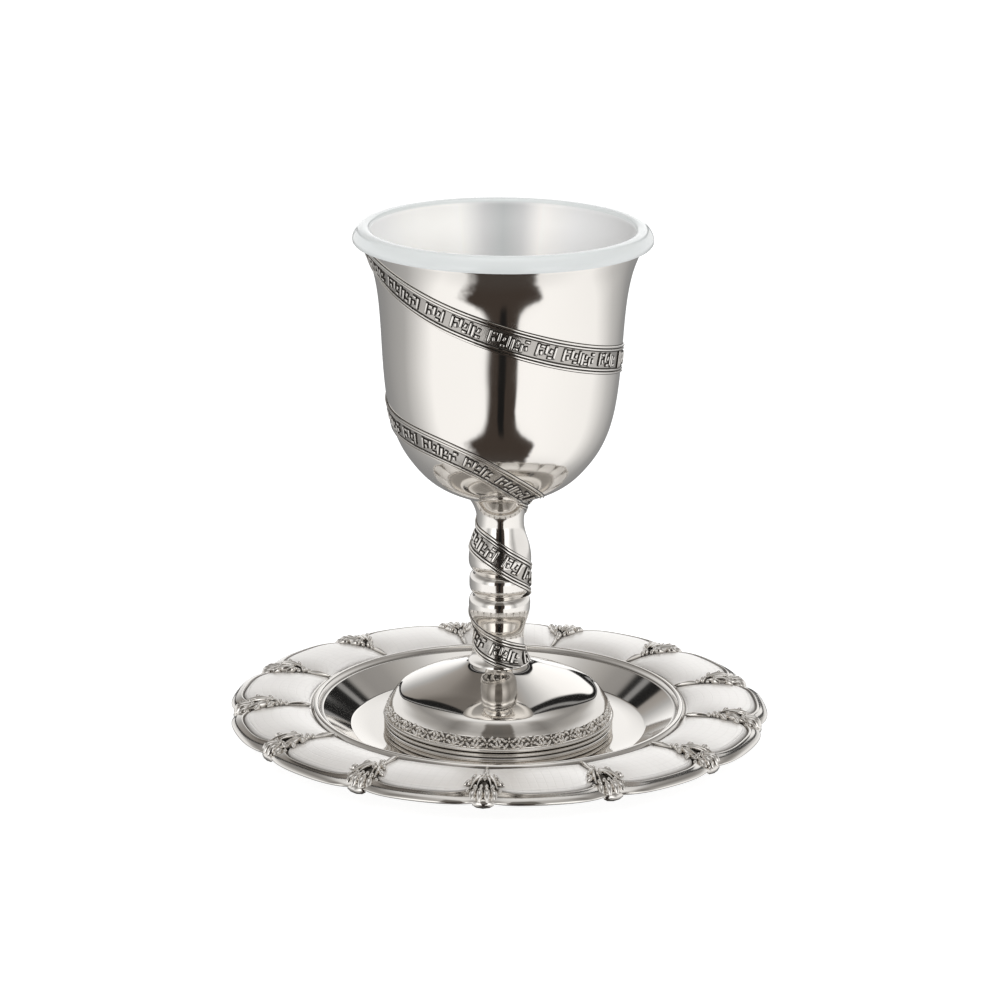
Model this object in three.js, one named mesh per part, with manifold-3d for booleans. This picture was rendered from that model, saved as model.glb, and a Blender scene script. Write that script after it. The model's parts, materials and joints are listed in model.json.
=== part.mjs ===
// A wine cup for blessings, standing on its saucer. The goblet is a turned bowl, stem and foot wound
// with one spiral ribbon. A drinking insert with a rolled lip hangs in the bowl, and the saucer is a
// round well with thirteen petals and a cast tassel in each valley between two petals.
//
// Millimetres, +Z up. The origin is the middle of the saucer's flat underside. An azimuth of 0 is
// the front, towards -Y, and it grows towards +X.

import * as THREE from 'three';
import { mergeVertices } from 'three/addons/utils/BufferGeometryUtils.js';
import Module from 'manifold-3d';

const wasm = await Module();
wasm.setup();

// ---- driving dimensions ------------------------------------------------------------------------

const SHEET = 1.5;              // thickness of the saucer's metal
const WELL_R = 36.5;            // radius of the flat floor of the saucer's well
const RING_R = 45.4;            // crest of the rolled ring round the well
const RING_Z = 7.3;
const PETALS = 13;
const PETAL_R = 67.2;           // middle of a petal's edge, from the axis
const NOTCH = 2.9;              // how far the edge falls back between two petals
const FLANGE = 3.0;             // width of the polished border outside a petal's crease
const CROWN = 0.9;              // how far a petal bulges above its valleys
const EDGE_Z = 6.2;             // top of the border's outer edge
const FIRST_VALLEY = -3;        // azimuth of the valley nearest the front, degrees

const FOOT_Z = SHEET;           // the foot stands on the floor of the well
const STEM_Z = 16.1;            // seam between foot and stem
const BOWL_Z = 60.8;            // seam between stem and bowl
const RIM_Z = 124.6;            // top of the bowl's rim, on which the insert's lip rests
const LIP_Z = 128.2;            // top of the insert's lip

const SEAM_R = 7.4;             // radius of the stem where it meets the foot
const NECK_R = 8.2;             // radius of the stem where it meets the bowl
const BOWL_WALL = 1.2;
const INSERT_WALL = 1.0;
const INSERT_GAP = 0.3;         // between the insert and the inside of the bowl
const BOWL_FLOOR = 63.6;        // inside of the bowl, at the bottom
const INSERT_FLOOR = 65.4;      // underside of the insert's bottom
const MOUTH_R = 32.8;           // inside of the bowl's rim

const RIBBON = 6.2;             // width of the spiral ribbon
const RELIEF = 0.4;             // height of the ribbon above the turned surface
const GROOVE = 1.8;             // more than the depth of the stem's grooves, which the ribbon bridges

const LEAVES = 20;              // leaves of the wreath round the foot's upright band
const LEAF_Z = 7.1;             // height of their middles
const LEAF_RELIEF = 0.5;

// ---- outlines ----------------------------------------------------------------------------------
// Each outline runs from the bottom up as [radius, height].

const bowlOutline = [
  [NECK_R, BOWL_Z], [12.1, 62.3], [17.5, 65.4], [21.5, 69.5], [24.3, 73.6], [26.5, 78.8],
  [28.1, 86.4], [29.1, 97.2], [29.9, 108.6], [30.9, 115.4], [32.2, 120.0], [34.0, RIM_Z],
];

const stemOutline = [
  [SEAM_R, STEM_Z], [6.6, 20.5], [6.2, 26.4], [7.3, 30.4], [7.6, 32.9], [7.3, 34.8], [6.4, 35.9],
  [7.3, 37.2], [7.5, 38.8], [7.3, 40.4], [6.4, 41.6], [7.4, 43.3], [7.7, 45.4], [7.1, 48.6],
  [6.1, 52.0], [5.8, 54.6], [6.8, 58.6], [NECK_R, BOWL_Z],
];

const footOutline = [
  [28.6, FOOT_Z], [28.7, 2.4], [27.5, 3.5], [28.5, 4.6], [28.5, 5.3], [27.9, 5.8], [27.3, LEAF_Z],
  [26.8, 8.5], [25.6, 9.5], [20.6, 11.1], [14.0, 12.5], [9.6, 14.0], [SEAM_R + 0.3, STEM_Z],
];

// ---- a turned surface, with places on it by azimuth and by arc length up the outline -------------

const radians = THREE.MathUtils.degToRad;

function place(radius, azimuth, height) {
  return new THREE.Vector3(radius * Math.sin(azimuth), -radius * Math.cos(azimuth), height);
}

class TurnedSurface {
  constructor(outline) {
    const corners = outline.map(([radius, height]) => new THREE.Vector3(radius, height, 0));
    this.line = new THREE.CatmullRomCurve3(corners, false, 'centripetal');
    this.line.arcLengthDivisions = 400;
    this.length = this.line.getLength();
  }

  // The arc length up the outline at which it reaches a height.
  arcAt(height) {
    let low = 0;
    let high = 1;
    for (let halving = 0; halving < 24; halving += 1) {
      const middle = (low + high) / 2;
      if (this.line.getPointAt(middle).y < height) {
        low = middle;
      } else {
        high = middle;
      }
    }
    return low * this.length;
  }

  radiusAt(arc) {
    return this.line.getPointAt(THREE.MathUtils.clamp(arc / this.length, 0, 1)).x;
  }

  // A point that stands `raise` off the surface. Past either end the outline runs on straight.
  point(azimuth, arc, raise) {
    const share = THREE.MathUtils.clamp(arc / this.length, 0, 1);
    const { x: radius, y: height } = this.line.getPointAt(share);
    const along = this.line.getTangentAt(share);
    const past = arc - share * this.length;
    const outwards = radius + along.x * past + along.y * raise;
    return place(outwards, azimuth, height + along.y * past - along.x * raise);
  }
}

// ---- meshes and booleans -------------------------------------------------------------------------

function geometryOf(corners, faces) {
  const geometry = new THREE.BufferGeometry();
  geometry.setAttribute('position', new THREE.Float32BufferAttribute(corners.flatMap((c) => c.toArray()), 3));
  geometry.setIndex(faces);
  return geometry;
}

function solidOf(geometry) {
  const bare = geometry.clone();
  bare.deleteAttribute('normal');
  bare.deleteAttribute('uv');
  const welded = mergeVertices(bare, 1e-4);
  return new wasm.Manifold(new wasm.Mesh({
    numProp: 3,
    vertProperties: new Float32Array(welded.attributes.position.array),
    triVerts: new Uint32Array(welded.index.array),
  }));
}

function geometryFrom(solid) {
  const { vertProperties, triVerts } = solid.getMesh();
  const geometry = new THREE.BufferGeometry();
  geometry.setAttribute('position', new THREE.BufferAttribute(vertProperties, 3));
  geometry.setIndex(new THREE.BufferAttribute(triVerts, 1));
  geometry.computeVertexNormals();
  return geometry;
}

// Spins an outline that starts and ends on the axis into a closed solid.
function turned(outline, sides) {
  const points = outline.map(([radius, height]) => new THREE.Vector2(radius, height));
  return solidOf(new THREE.LatheGeometry(points, sides).rotateX(Math.PI / 2));
}

// Joins equal loops of corners into a skin, and closes its two ends with fans.
function skinned(loops) {
  const around = loops[0].length;
  const faces = [];
  for (let row = 0; row + 1 < loops.length; row += 1) {
    for (let column = 0; column < around; column += 1) {
      const next = (column + 1) % around;
      const a = row * around + column;
      const b = row * around + next;
      faces.push(a, b, b + around, a, b + around, a + around);
    }
  }
  const corners = loops.flat();
  const first = corners.length;
  corners.push(centreOf(loops[0]), centreOf(loops[loops.length - 1]));
  const last = (loops.length - 1) * around;
  for (let column = 0; column < around; column += 1) {
    const next = (column + 1) % around;
    faces.push(first, next, column, first + 1, last + column, last + next);
  }
  return solidOf(geometryOf(corners, faces));
}

function centreOf(loop) {
  const sum = loop.reduce((total, corner) => total.add(corner), new THREE.Vector3());
  return sum.divideScalar(loop.length);
}

// ---- the spiral ribbon ---------------------------------------------------------------------------
// One ribbon starts under the lip at the left, winds down the bowl and on round the stem to the foot.
// A path lists where its middle is, as [azimuth in degrees, height].

const bowlPath = [
  [-112, 127.5], [-84, 123.2], [-58, 118.0], [-28, 112.0], [0, 107.2], [30, 102.5], [66, 98.2],
  [120, 94.0], [190, 88.8], [250, 83.9], [290, 80.9], [325, 78.2], [347, 74.4], [364, 69.6],
  [378, 65.8], [392, 63.0],
];

const stemPath = [
  [40, 63.0], [100, 59.4], [190, 54.9], [270, 50.9], [330, 48.8], [390, 44.0], [450, 39.4],
  [540, 33.5], [640, 26.3], [700, 23.1], [780, 19.8], [850, 16.9], [880, 15.2],
];

// Sweeps the ribbon along its path: a flat band with sloping sides, rooted in the wall behind it.
function ribbonOn(surface, path, steps, root) {
  const section = [
    [RIBBON / 2 + root, -root], [RIBBON / 2, RELIEF], [-RIBBON / 2, RELIEF], [-RIBBON / 2 - root, -root],
  ];
  const stops = path.map(([azimuth, height]) => {
    const past = Math.max(0, height - RIM_Z) - Math.max(0, surface.line.points[0].y - height);
    return new THREE.Vector3(radians(azimuth), surface.arcAt(height) + past, 0);
  });
  const middle = new THREE.CatmullRomCurve3(stops, false, 'centripetal');
  const loops = [];
  for (let step = 0; step <= steps; step += 1) {
    const { x: azimuth, y: arc } = middle.getPoint(step / steps);
    const heading = middle.getTangent(step / steps);
    const radius = surface.radiusAt(arc);
    const direction = new THREE.Vector2(heading.x * radius, heading.y).normalize();
    loops.push(section.map(([across, raise]) => surface.point(
      azimuth - (across * direction.y) / radius,
      arc + across * direction.x,
      raise,
    )));
  }
  return skinned(loops);
}

// ---- bowl, stem and foot -------------------------------------------------------------------------

// A disc that fills everything between two heights, to trim a ribbon with.
function slab(low, high) {
  return turned([[0, low], [60, low], [60, high], [0, high]], 24);
}

const bowlSurface = new TurnedSurface(bowlOutline);

// The lines of a turned wall's inner face: its outline's corners, moved inwards by the wall.
function movedIn(outline, surface, wall, bottom) {
  return outline.filter(([, height]) => height > bottom).map(([, height]) => {
    const corner = surface.point(0, surface.arcAt(height), -wall);
    return [-corner.y, corner.z];
  });
}

function bowl() {
  const body = turned([[0, BOWL_Z], ...bowlOutline, [0, RIM_Z]], 36);
  const wall = movedIn(bowlOutline, bowlSurface, BOWL_WALL, 65).slice(0, -1);
  const hollow = turned([[0, BOWL_FLOOR], [10, BOWL_FLOOR + 0.6], ...wall, [MOUTH_R, RIM_Z],
    [MOUTH_R, LIP_Z], [0, LIP_Z]], 30);
  const ribbon = ribbonOn(bowlSurface, bowlPath, 36, BOWL_WALL / 2);
  const trimmed = ribbon.subtract(slab(RIM_Z - 0.8, LIP_Z + 20)).subtract(slab(0, BOWL_Z));
  return geometryFrom(body.add(trimmed).subtract(hollow));
}

function stem() {
  const surface = new TurnedSurface(stemOutline);
  const body = turned([[0, STEM_Z], ...stemOutline, [0, BOWL_Z]], 16);
  const ribbon = ribbonOn(surface, stemPath, 32, GROOVE);
  return geometryFrom(body.add(ribbon.subtract(slab(BOWL_Z, LIP_Z)).subtract(slab(0, STEM_Z))));
}

// The foot is a shell, open below. Every other corner round its upright band swells into a leaf.
function foot() {
  const outline = [[0, 12.4], [9, 11.6], [20, 9.4], [25.2, 7.2], [26, FOOT_Z], ...footOutline, [0, STEM_Z]];
  const points = outline.map(([radius, height]) => new THREE.Vector2(radius, height));
  const geometry = new THREE.LatheGeometry(points, 2 * LEAVES).rotateX(Math.PI / 2);
  const corners = geometry.attributes.position;
  const band = outline.findIndex(([, height]) => height === LEAF_Z);
  for (let column = 1; column < 2 * LEAVES; column += 2) {
    const at = column * outline.length + band;
    const swell = 1 + LEAF_RELIEF / outline[band][0];
    corners.setXY(at, corners.getX(at) * swell, corners.getY(at) * swell);
  }
  return geometryFrom(solidOf(geometry));
}

// ---- the insert ----------------------------------------------------------------------------------

// A thin cup that hangs in the bowl: its lip is rolled over the bowl's rim and turned down outside.
function insert() {
  const outside = movedIn(bowlOutline, bowlSurface, BOWL_WALL + INSERT_GAP, 67).slice(0, -1);
  const drop = BOWL_WALL + INSERT_GAP + INSERT_WALL;
  const innerWall = movedIn(bowlOutline, bowlSurface, drop, 68).slice(0, -1);
  const throat = MOUTH_R - INSERT_GAP;
  const cup = turned([[0, INSERT_FLOOR], [10, INSERT_FLOOR + 0.5], ...outside, [throat, RIM_Z], [34.9, RIM_Z],
    [35.2, RIM_Z - 0.3], [36.1, RIM_Z - 0.3], [36.3, RIM_Z + 0.3], [35.9, 126.4], [35.1, 127.6],
    [33.8, LIP_Z], [32.6, 127.9], [0, 127.9]], 32);
  const inside = turned([[0, INSERT_FLOOR + 1.1], [10, INSERT_FLOOR + 1.6], ...innerWall,
    [throat - INSERT_WALL, RIM_Z], [32.0, 127.2], [32.6, 127.9], [32.8, 140], [0, 140]], 28);
  return geometryFrom(cup.subtract(inside));
}

// ---- the saucer ----------------------------------------------------------------------------------

// The well and its ring, then the saucer's underside from the border back to the flat floor.
const wellLine = [[WELL_R, SHEET], [40.0, 2.4], [43.2, 5.3], [RING_R, RING_Z], [46.6, 6.7]];
const undersideLine = [[62.0, 5.2], [46.6, 5.4], [41.2, 1.4], [WELL_R + SHEET, 0]];

// Rows across the petals, as the share of the way from ring to crease, with the cast ornament's
// [radius, half width, height] in the valley on that row: a bud, a flower and a tassel.
const petalRows = [
  { share: 0.0, ornament: [47.4, 0.5, 0.5] },
  { share: 0.2, ornament: [50.4, 1.1, 1.3] },
  { share: 0.4, ornament: [54.0, 0.8, 0.8] },
  { share: 0.7, ornament: [58.6, 2.9, 1.7] },
  { share: 1.0, ornament: [61.8, 1.7, 1.1] },
];
const PETAL_FOOT = 6.9;         // height of a petal where it starts outside the ring
const CREASE_Z = 6.7;           // height of the crease between petal and border
const borderRows = [
  { in: FLANGE - 0.8, height: 7.0, ornament: [64.2, 3.0, 1.5] },
  { in: 0, height: EDGE_Z, ornament: [67.0, 2.6, 0.7] },
  { in: 0.4, height: EDGE_Z - 1.0, ornament: [66.6, 2.6, 0] },
];

// Places across a petal, from one valley (-1) to the next (1).
const ACROSS = [-0.74, -0.4, 0, 0.4, 0.74];

function petalEdge(across) {
  return PETAL_R - NOTCH * across ** 4;
}

// One row of corners round the saucer. Each petal gives its valley's ridge, the ornament's foot on
// either side of it, and the places across the petal between those feet.
function petalLoop([ornamentR, halfWidth, raised], footZ, onPetal) {
  const loop = [];
  const pitch = radians(360 / PETALS);
  const foot = halfWidth / ornamentR;
  for (let petal = 0; petal < PETALS; petal += 1) {
    const valley = radians(FIRST_VALLEY) + petal * pitch;
    loop.push(place(ornamentR, valley, footZ + raised));
    loop.push(place(ornamentR, valley + foot, footZ));
    for (const across of ACROSS) {
      const { radius, height } = onPetal(across);
      loop.push(place(radius, valley + ((across + 1) / 2) * pitch, height));
    }
    loop.push(place(ornamentR, valley + pitch - foot, footZ));
  }
  return loop;
}

function circleLoop([radius, height]) {
  return petalLoop([radius, radius * radians(2), 0], height, () => ({ radius, height }));
}

function saucer() {
  const petals = petalRows.map(({ share, ornament }) => {
    const line = THREE.MathUtils.lerp(PETAL_FOOT, CREASE_Z, share);
    return petalLoop(ornament, line, (across) => ({
      radius: THREE.MathUtils.lerp(wellLine[4][0] + 0.6, petalEdge(across) - FLANGE, share),
      height: line + CROWN * (1 - across ** 4) * Math.sin(Math.PI * share),
    }));
  });
  const border = borderRows.map((row) => petalLoop(row.ornament, row.height, (across) => (
    { radius: petalEdge(across) - row.in, height: row.height })));
  const loops = [...wellLine.map(circleLoop), ...petals, ...border, ...undersideLine.map(circleLoop)];
  return geometryFrom(skinned(loops.reverse()));
}

// ---- the finished object -------------------------------------------------------------------------

const nickel = { color: 0xcdc8bf, roughness: 0.14, metalness: 1 };
const milky = { color: 0xe9ebee, roughness: 0.4, metalness: 0 };
const parts = [
  ['saucer', saucer, nickel],
  ['foot', foot, nickel],
  ['stem', stem, nickel],
  ['bowl', bowl, nickel],
  ['insert', insert, milky],
];

const cup = new THREE.Group();
for (const [name, make, look] of parts) {
  const mesh = new THREE.Mesh(make(), new THREE.MeshStandardMaterial(look));
  mesh.name = name;
  cup.add(mesh);
}

export default cup;
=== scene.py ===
"""A wine cup for blessings with its insert and petalled saucer, dressed in polished nickel.

The CAD solids are the frame. Each one is replaced by a finely turned piece of the same form, and
the relief lies on it in pieces of its own: the ribbon with its strokes, the foot's wreath and the
cast tassels. Outlines are in millimetres, with runs that meet at corners, and the scene is in
metres. An azimuth of 0 is the front, towards -Y, and it grows towards +X.
"""

import json
import math

import bpy
import numpy as np
from mathutils import Matrix, Vector

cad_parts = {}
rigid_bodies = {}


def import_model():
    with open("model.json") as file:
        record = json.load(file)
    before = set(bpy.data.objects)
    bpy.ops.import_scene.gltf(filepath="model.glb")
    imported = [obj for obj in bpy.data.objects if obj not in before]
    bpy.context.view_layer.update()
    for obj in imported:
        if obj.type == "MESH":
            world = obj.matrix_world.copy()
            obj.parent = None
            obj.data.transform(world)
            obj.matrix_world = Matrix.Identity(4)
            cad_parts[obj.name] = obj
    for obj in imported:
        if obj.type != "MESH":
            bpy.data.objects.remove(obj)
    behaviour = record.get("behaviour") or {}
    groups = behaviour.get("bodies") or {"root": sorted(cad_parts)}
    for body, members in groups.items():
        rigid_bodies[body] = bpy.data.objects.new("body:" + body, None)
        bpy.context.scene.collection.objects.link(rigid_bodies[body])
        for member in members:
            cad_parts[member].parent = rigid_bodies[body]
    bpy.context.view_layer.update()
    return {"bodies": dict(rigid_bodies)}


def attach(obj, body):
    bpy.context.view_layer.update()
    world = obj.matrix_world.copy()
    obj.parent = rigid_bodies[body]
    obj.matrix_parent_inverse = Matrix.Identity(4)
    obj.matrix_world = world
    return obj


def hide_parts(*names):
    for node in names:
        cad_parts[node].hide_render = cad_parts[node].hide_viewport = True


bl_info = {
    "name": "Blessing cup",
    "version": (1, 0, 0),
    "blender": (4, 5, 0),
    "location": "3D View > Sidebar > Cup",
    "description": "Builds a nickel blessing cup with its insert and petalled saucer",
    "category": "Add Mesh",
}

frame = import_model()

MM = 0.001
BODY = next(iter(frame["bodies"]))

# ---- driving dimensions, in millimetres and degrees ---------------

SHEET = 1.5                      # top of the well's floor, on which the foot stands
STEM_Z = 16.1                    # seam between foot and stem
NECK_Z = 18.3                    # where the foot's polished neck closes round the stem
BOWL_Z = 60.8                    # seam between stem and bowl
RIM_Z = 124.6                    # top of the bowl's rim, on which the insert's lip rests
BOWL_WALL = 1.2
INSERT_GAP = 0.3                 # between the insert and the inside of the bowl
INSERT_WALL = 1.0

PETALS = 13
FIRST_VALLEY = -3.0              # azimuth of the valley nearest the front
PETAL_START = 46.9               # where the petals begin, just outside the ring
CREASE = 64.2                    # the crease between petal and border, over a petal's middle
PETAL_EDGE = 67.0                # a petal's edge, over its middle
NOTCH = 2.9                      # how far the edge falls back at a valley
CREASE_TURN = 5.0                # how much further the crease falls back there
PETAL_Z = 6.6                    # heights of a petal's foot at the ring, of its crease,
CREASE_Z = 6.95
EDGE_UNDER_Z = 5.0               # and of the lower side of its edge
BORDER_BEAD = 0.1                # how far the border rises beside the crease, slopes down from it,
BORDER_FALL = 0.85
BORDER_ROLL = 0.9                # and rolls over at the edge
TASSEL_FOOT = 5.5                # height from which a tassel is stretched
TASSEL_TALL = 1.22               # how tall and how wide it is, by the sizes of its small shapes
TASSEL_WIDE = 0.84

WREATH_Z = 6.2                   # height of the wreath's middle line
WREATH_REPEATS = 32
MARKED_END = 72                  # azimuth of the two bars that close the first row of strokes
END_BARS = 1.1                   # from one of those bars to the other

# ---- outlines, as (radius, height) --------------------------------

BOWL_OUTSIDE = [
    (8.2, BOWL_Z), (12.1, 62.3), (17.5, 65.4), (21.5, 69.5), (24.3, 73.6), (26.5, 78.8),
    (28.1, 86.4), (29.1, 97.2), (29.9, 108.6), (30.9, 115.4), (32.2, 120.0), (34.0, 124.2),
]
LIP = [
    (35.2, 124.4), (36.1, 124.45), (36.3, 125.2), (35.9, 126.5), (35.1, 127.6), (33.8, 128.15),
    (32.6, 127.9), (32.0, 127.2), (31.7, 126.0),
]
STEM_RUNS = [
    [(7.6, STEM_Z), (7.6, 18.4)],
    [(7.6, 18.4), (6.9, 19.6), (6.5, 21.8), (6.2, 26.4), (7.2, 30.2), (7.6, 32.9), (7.2, 35.1),
     (6.4, 35.9)],
    [(6.4, 35.9), (7.25, 36.9), (7.5, 38.8), (7.25, 40.7), (6.4, 41.6)],
    [(6.4, 41.6), (7.4, 42.9), (7.7, 45.4), (7.1, 48.8), (6.1, 52.0), (5.8, 54.6), (6.6, 58.2),
     (8.2, BOWL_Z)],
]
STEM_UNDER_RIBBON = [            # the wall that the ribbon follows, which passes over the grooves
    (7.6, STEM_Z), (7.6, 18.4), (6.9, 19.6), (6.5, 21.8), (6.2, 26.4), (7.2, 30.2), (7.55, 32.9),
    (7.45, 35.9), (7.5, 38.8), (7.5, 41.6), (7.7, 45.0), (7.1, 48.8), (6.1, 52.0), (5.8, 54.6),
    (6.6, 58.2), (8.2, BOWL_Z),
]

WREATH_BAND = [(28.0, 4.85), (27.5, 6.1), (26.95, 7.5)]
FOOT_GROOVES = ((2.4, 2.8), (3.6, 4.0))          # lowest and highest, below and above the lower bead
FOOT_RUNS = [
    [(28.2, SHEET), (28.35, 1.6), (28.35, 2.3), (28.2, 2.4)],
    [(28.2, 2.4), (27.7, 2.45), (27.7, 2.7)],
    [(27.7, 2.7), (28.3, 2.8), (28.5, 3.15), (28.3, 3.5), (27.9, 3.6)],
    [(27.9, 3.6), (27.6, 3.7), (27.6, 3.9)],
    [(27.6, 3.9), (28.3, 4.0), (28.65, 4.35), (28.4, 4.75), (28.0, 4.85)],
    WREATH_BAND,
    [(26.95, 7.5), (27.2, 7.6), (27.1, 7.75)],
    [(27.1, 7.75), (26.8, 8.3), (26.0, 9.5), (25.3, 10.4), (24.8, 10.88), (24.3, 11.22), (23.0, 11.9),
     (21.0, 12.8), (17.0, 14.3), (13.0, 15.75), (10.2, 16.8), (8.4, 17.6), (7.3, NECK_Z)],
]
FOOT_INSIDE = [(0, 12.4), (9, 11.6), (20, 9.4), (25.2, 7.2), (26, SHEET)]

WELL_RUNS = [
    [(36.3, SHEET), (36.6, 1.6)],
    [(36.6, 1.6), (43.7, 6.15)],
    [(43.7, 6.15), (44.0, 6.1), (44.4, 6.6)],
    [(44.4, 6.6), (44.8, 7.15), (45.4, 7.4), (46.0, 7.15), (46.35, 6.7)],
    [(46.35, 6.7), (46.5, 6.45), (46.7, 6.6)],
]
RING_HOLLOWS = (44.1, 46.55)     # radii of the lines of painted shade at the foot of the ring
SAUCER_UNDERSIDE = [
    (66.4, 4.6), (62, 4.9), (56, 5.1), (46.6, 5.2), (43.6, 3.9), (41.2, 1.4), (39.6, 0.2), (38.0, 0),
    (0, 0),
]
# Rows across a petal: 0 is its start at the ring, 1 the crease and 2 the edge.
PETAL_ROWS = [
    0, 0.015, 0.04, 0.08, 0.13, 0.2, 0.28, 0.37, 0.46, 0.55, 0.64, 0.72, 0.8, 0.86, 0.91, 0.945, 0.965,
    0.98, 0.99, 1.0, 1.08, 1.14, 1.2, 1.3, 1.42, 1.56, 1.7, 1.84, 1.92, 1.97, 2.0,
]
PETAL_MARK = 20.0                # the petals' rows are turned this high, to be told from the rest,
EDGE_MARK = 19.0                 # and the row under their edge this high, until they are pressed

# ---- the ribbon and its strokes -----------------------------------

# Where the ribbon's middle runs, as (azimuth in degrees, height).
BOWL_PATH = [
    (-112, 127.5), (-84, 123.2), (-58, 118.0), (-28, 112.0), (0, 107.2), (30, 102.5), (66, 98.2),
    (120, 94.0), (190, 88.8), (250, 83.9), (290, 80.9), (325, 78.2), (347, 74.4), (364, 69.6),
    (378, 65.8), (392, 63.0),
]
STEM_PATH = [
    (40, 63.0), (100, 59.4), (190, 54.9), (270, 50.9), (330, 48.8), (390, 44.0), (450, 39.4),
    (540, 33.5), (640, 26.3), (700, 23.1), (780, 19.8), (850, 16.9), (880, 15.2),
]
# One side of the ribbon, as (distance from its edge, share of its raise, how bright). The dark values
# paint shade in the grooves beside its two ridges.
RIBBON_SIDE = [
    (0.0, 0.04, -0.2), (0.14, 0.06, -0.2), (0.24, 0.9, 0.5), (0.42, 1.0, 0.5), (0.6, 0.9, 0.5),
    (0.7, 0.1, -0.2), (0.88, 0.1, -0.2), (0.98, 0.8, 0.5), (1.14, 0.9, 0.5), (1.3, 0.8, 0.5),
    (1.4, 0.1, -0.2), (1.56, 0.1, -0.2), (1.7, 0.06, 0.06),
]
# Strokes go through these sizes in turn, in groups of so many.
STROKE_GROUPS = (3, 5, 4, 6, 3, 4, 5)
STROKE_TALL = (0.92, 0.66, 0.9, 0.84, 0.6)       # as a share of the row's height
STROKE_WIDE = (0.55, 0.62, 0.5, 0.66)
STROKE_LEAN = (0, 5, -4, 0, 7, -3)               # in degrees
STROKE_SKIRT = 0.32              # width of the foot round each stroke, dark with painted shade
STROKE_GAP = 0.4                 # between one stroke and the next, and between groups
GROUP_GAP = 1.6
BAR_WIDE = 0.3                   # one of the two bars at the end of a row


# ---- curves and turned surfaces -----------------------------------

def smooth_line(corners, spacing):
    """Points about every spacing along the smooth curve (a natural cubic spline) through corners."""
    corners = np.asarray(corners, float)
    chords = np.linalg.norm(np.diff(corners, axis=0), axis=1)
    at = np.concatenate([[0.0], np.cumsum(chords)])
    last = len(corners) - 1
    system = np.eye(last + 1)
    pull = np.zeros_like(corners)
    for i in range(1, last):
        before, after = chords[i - 1], chords[i]
        system[i, i - 1:i + 2] = before, 2 * (before + after), after
        pull[i] = 6 * ((corners[i + 1] - corners[i]) / after - (corners[i] - corners[i - 1]) / before)
    bend = np.linalg.solve(system, pull)
    where = np.linspace(0, at[-1], max(2, round(at[-1] / spacing) + 1))
    span = np.clip(np.searchsorted(at, where, side="right") - 1, 0, last - 1)
    chord = chords[span][:, None]
    u = ((where - at[span]) / chords[span])[:, None]
    v = 1 - u
    bent = ((v ** 3 - v) * bend[span] + (u ** 3 - u) * bend[span + 1]) * chord ** 2 / 6
    return v * corners[span] + u * corners[span + 1] + bent


def joined_runs(runs, spacing):
    """One outline from several smooth runs that meet at corners."""
    lines = [smooth_line(run, spacing) for run in runs]
    return np.vstack([lines[0]] + [line[1:] for line in lines[1:]])


class TurnedSurface:
    """A turned wall, with places on it by azimuth and by arc length up its outline."""

    def __init__(self, outline):
        self.outline = outline
        steps = np.linalg.norm(np.diff(outline, axis=0), axis=1)
        self.arcs = np.concatenate([[0.0], np.cumsum(steps)])
        along = np.gradient(outline, self.arcs, axis=0)
        self.along = along / np.linalg.norm(along, axis=1)[:, None]

    def arc_at(self, height):
        """The arc length up the outline at which it reaches a height."""
        return np.interp(height, self.outline[:, 1], self.arcs)

    def radius_at(self, arc):
        return np.interp(arc, self.arcs, self.outline[:, 0])

    def place(self, azimuth, arc, raised):
        """Points in metres, raised off the wall. Past either end the wall runs on straight."""
        held = np.clip(arc, 0, self.arcs[-1])
        past = arc - held
        radius, height, along_r, along_z = (
            np.interp(held, self.arcs, values)
            for values in (*self.outline.T, *self.along.T)
        )
        radius = radius + along_r * past + along_z * raised
        height = height + along_z * past - along_r * raised
        return np.stack([radius * np.sin(azimuth), -radius * np.cos(azimuth), height], 1) * MM


def wall_inside(outline, wall):
    """An outline moved inwards by the wall."""
    surface = TurnedSurface(outline)
    moved = surface.place(np.zeros(len(outline)), surface.arcs, -wall) / MM
    return np.stack([-moved[:, 1], moved[:, 2]], 1)


# ---- modelling by hand --------------------------------------------

def deselect_all():
    """Leaves edit mode with nothing selected."""
    if bpy.context.mode != "OBJECT":
        bpy.ops.object.mode_set(mode="OBJECT")
    for other in bpy.context.selected_objects:
        other.select_set(False)


def only(piece):
    """Makes a piece the only selected object, and the active one."""
    deselect_all()
    piece.select_set(True)
    bpy.context.view_layer.objects.active = piece


def new_piece(name, corners, edges):
    """An object of corners and edges alone, selected."""
    mesh = bpy.data.meshes.new(name)
    mesh.from_pydata(corners, edges, [])
    piece = bpy.data.objects.new(name, mesh)
    bpy.context.scene.collection.objects.link(piece)
    only(piece)
    return piece


def twin(shape):
    """A copy of an object, with its own mesh."""
    copy = shape.copy()
    copy.data = shape.data.copy()
    bpy.context.scene.collection.objects.link(copy)
    return copy


def deleted(*pieces):
    """Removes objects with their meshes."""
    for piece in pieces:
        mesh = piece.data
        bpy.data.objects.remove(piece)
        bpy.data.meshes.remove(mesh)


def corners_of(piece):
    """The corners of a piece's mesh, as an array."""
    flat = np.empty(len(piece.data.vertices) * 3)
    piece.data.vertices.foreach_get("co", flat)
    return flat.reshape(-1, 3)


def move_corners(piece, corners):
    """Moves a piece's corners to the places in an array."""
    piece.data.vertices.foreach_set("co", np.ascontiguousarray(corners, float).ravel())
    piece.data.update()


def tidy(piece):
    """Merges doubles and turns every face outwards."""
    only(piece)
    bpy.ops.object.mode_set(mode="EDIT")
    bpy.ops.mesh.select_all(action="SELECT")
    bpy.ops.mesh.remove_doubles(threshold=1e-6)
    bpy.ops.mesh.normals_make_consistent(inside=False)
    bpy.ops.object.mode_set(mode="OBJECT")


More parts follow.
